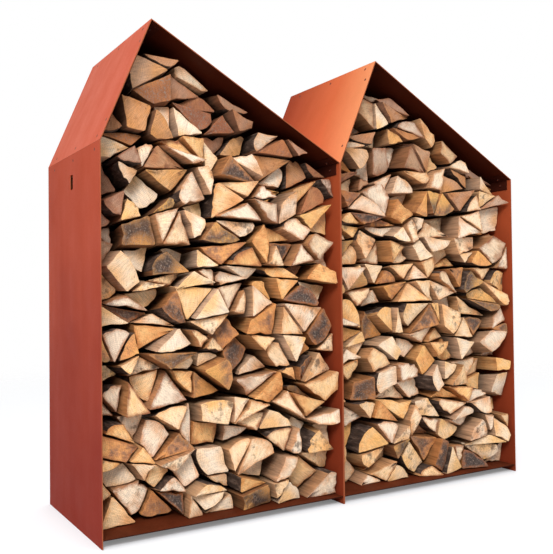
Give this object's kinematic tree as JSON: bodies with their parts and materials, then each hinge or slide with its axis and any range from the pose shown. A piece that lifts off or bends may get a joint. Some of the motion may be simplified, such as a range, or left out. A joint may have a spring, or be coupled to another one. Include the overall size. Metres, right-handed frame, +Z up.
{
  "type": "log store",
  "caption": "Outdoor log store: linked house-shaped bays of rust-faced sheet steel with lopsided gable roofs and raised floors, packed with split logs.",
  "frame": {"origin": "on the ground, in the middle of the footprint of the two bays", "axes": "+Z up; the open fronts face -Y and the back panels +Y; +X to the right seen from the front, along both bays"},
  "size_m": [1.8006, 0.6, 1.6399],
  "materials": {
    "rust_wall": "satin rust skin on folded sheet steel",
    "rust_roof": "satin rust skin on folded sheet steel",
    "rust_back": "satin rust skin",
    "rust_floor": "matt rust skin, darker where sheltered",
    "rust_strip": "matt rust skin",
    "screw_heads": "satin, darkened",
    "nut_steel": "dull plated",
    "link_steel": "dull plated",
    "split_wood": "raw split hardwood with some bark"
  },
  "bodies": {
    "store": {"left_outer_wall": "rust_wall", "left_inner_wall": "rust_wall", "left_steep_roof": "rust_roof", "left_shallow_roof": "rust_roof", "left_back_panel": "rust_back", "left_outer_eave_strip": "rust_strip", "left_inner_eave_strip": "rust_strip", "left_ridge_strip": "rust_strip", "left_edge_bar": "rust_strip", "left_floor": "rust_floor", "left_floor_cleats": "rust_floor", "left_floor_tubes": "rust_floor", "left_roof_screws": "screw_heads", "left_roof_nuts": "nut_steel", "left_back_screws": "screw_heads", "left_back_nuts": "nut_steel", "left_floor_screws": "screw_heads", "left_floor_nuts": "nut_steel", "right_inner_wall": "rust_wall", "right_outer_wall": "rust_wall", "right_steep_roof": "rust_roof", "right_shallow_roof": "rust_roof", "right_back_panel": "rust_back", "right_inner_eave_strip": "rust_strip", "right_outer_eave_strip": "rust_strip", "right_ridge_strip": "rust_strip", "right_edge_bar": "rust_strip", "right_floor": "rust_floor", "right_floor_cleats": "rust_floor", "right_floor_tubes": "rust_floor", "right_roof_screws": "screw_heads", "right_roof_nuts": "nut_steel", "right_back_screws": "screw_heads", "right_back_nuts": "nut_steel", "right_floor_screws": "screw_heads", "right_floor_nuts": "nut_steel", "link_bolt": "link_steel", "link_plates": "link_steel", "link_nut": "link_steel"},
    "left_stack": {"left_logs_1": "split_wood", "left_logs_2": "split_wood", "left_logs_3": "split_wood", "left_logs_4": "split_wood", "left_logs_5": "split_wood", "left_logs_6": "split_wood", "left_logs_7": "split_wood", "left_logs_8": "split_wood", "left_logs_9": "split_wood"},
    "right_stack": {"right_logs_1": "split_wood", "right_logs_2": "split_wood", "right_logs_3": "split_wood", "right_logs_4": "split_wood", "right_logs_5": "split_wood", "right_logs_6": "split_wood", "right_logs_7": "split_wood", "right_logs_8": "split_wood", "right_logs_9": "split_wood"}
  },
  "joints": [
    {"name": "left_stack_draw", "type": "slide", "parent": "store", "child": "left_stack", "axis": [0, -1, 0], "range_m": [0, 0.62]},
    {"name": "right_stack_draw", "type": "slide", "parent": "store", "child": "right_stack", "axis": [0, -1, 0], "range_m": [0, 0.62]}
  ]
}
